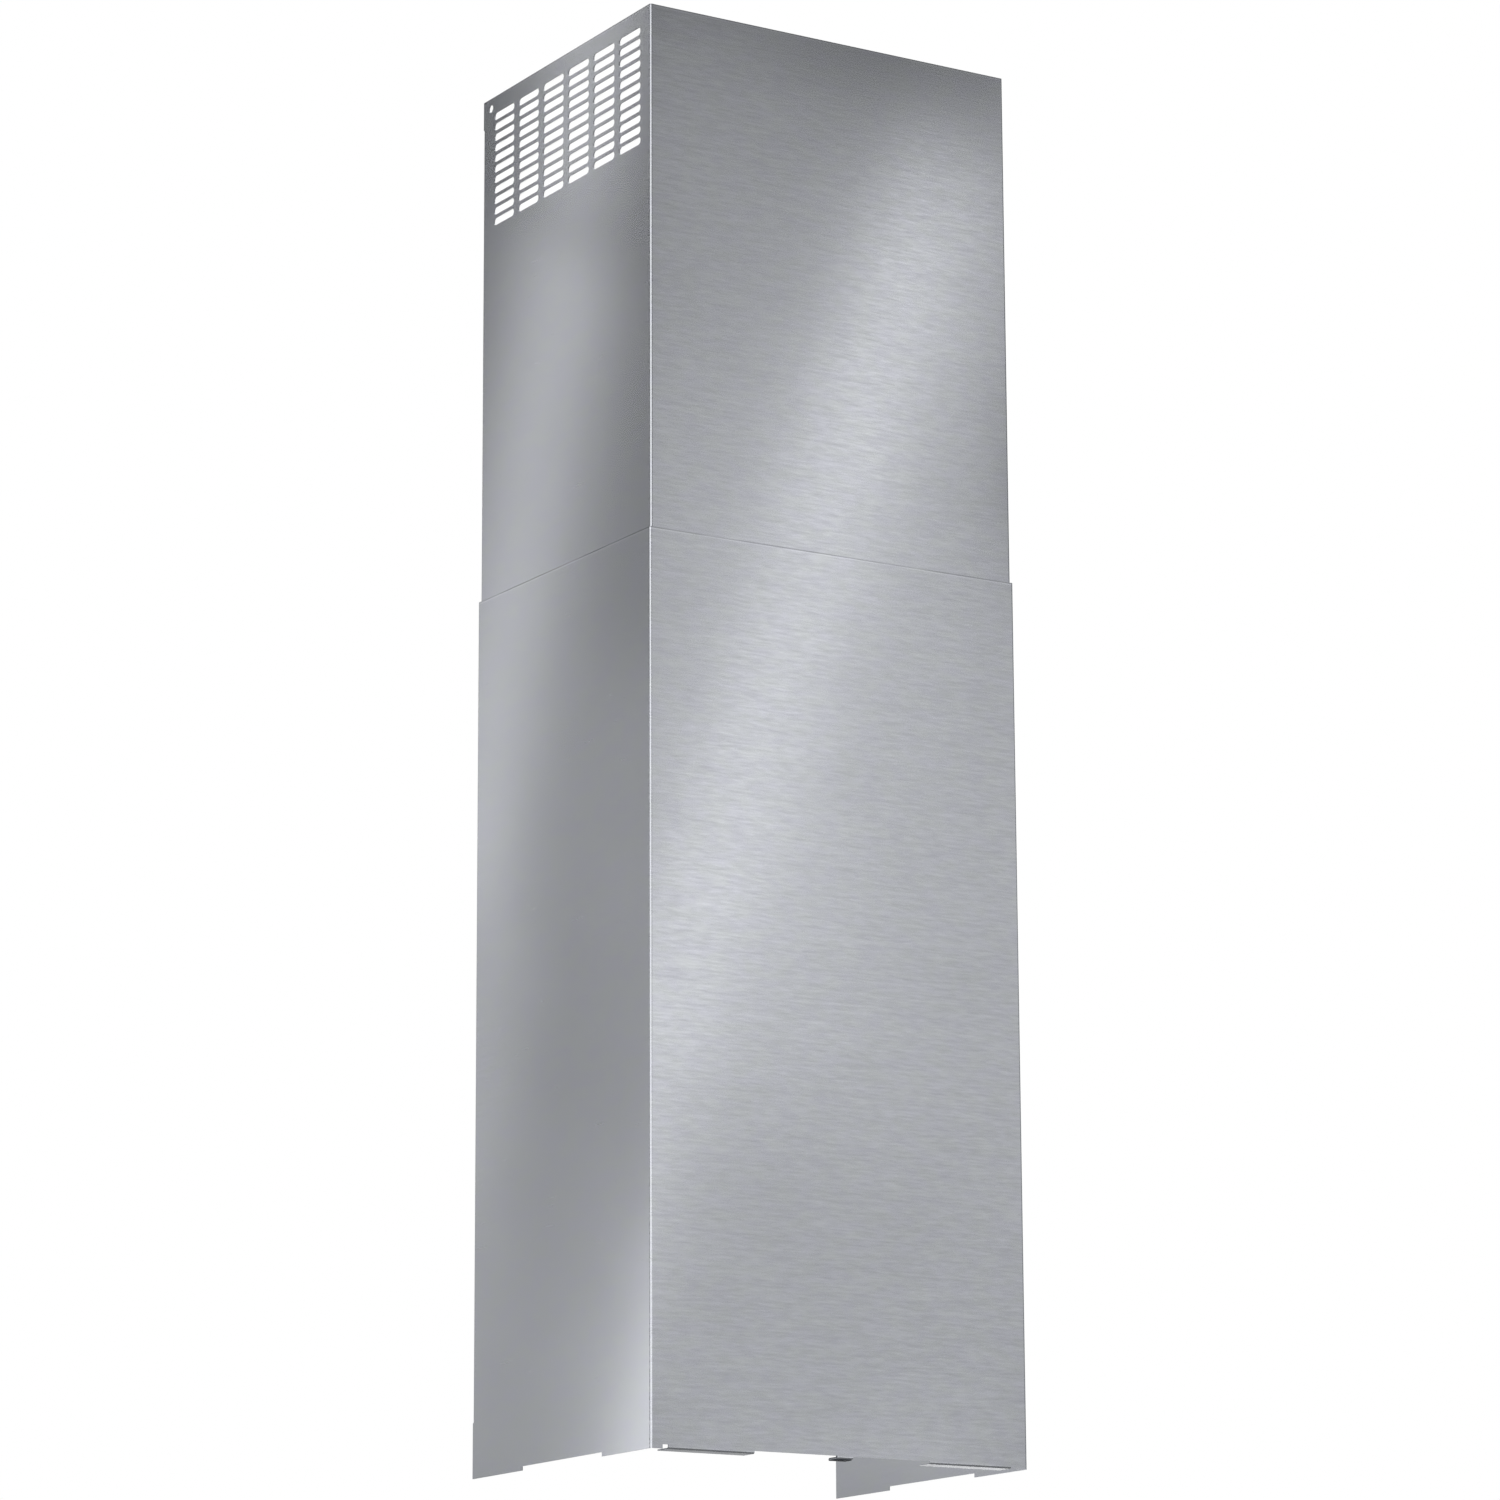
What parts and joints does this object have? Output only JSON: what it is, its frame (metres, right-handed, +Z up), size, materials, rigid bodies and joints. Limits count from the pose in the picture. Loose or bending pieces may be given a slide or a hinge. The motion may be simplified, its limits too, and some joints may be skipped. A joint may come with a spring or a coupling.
{
  "type": "telescoping range hood chimney cover",
  "caption": "Two-piece telescoping brushed steel chimney cover for a range hood, open at the back and both ends, with side air slots, bottom clip nut and wall bracket.",
  "frame": {"origin": "centre of the bounding box in plan, on its lowest face, which is the lower leaf of the clip nut", "axes": "+Z up along the telescope, +Y to the wall behind, +X to the right seen from the front"},
  "size_m": [0.31, 0.25, 1.0406],
  "materials": {
    "brushed_cover_lower": "fine horizontal brush grain, stainless",
    "brushed_cover_upper": "fine horizontal brush grain, stainless",
    "spring_steel": "dark phosphated spring steel",
    "zinc_plate": "zinc plated, dull",
    "glide_film": "milky slide film"
  },
  "bodies": {
    "lower": {"lower_cover": "brushed_cover_lower", "centre_clip_nut": "spring_steel", "glide_strip_front": "glide_film", "glide_strip_left": "glide_film", "glide_strip_right": "glide_film", "glide_strip_rear_left": "glide_film", "glide_strip_rear_right": "glide_film"},
    "upper": {"upper_cover": "brushed_cover_upper", "wall_bracket": "zinc_plate"}
  },
  "joints": [
    {"name": "telescope", "type": "slide", "parent": "lower", "child": "upper", "axis": [0, 0, 1], "range_m": [-0.36, 0.2]}
  ]
}
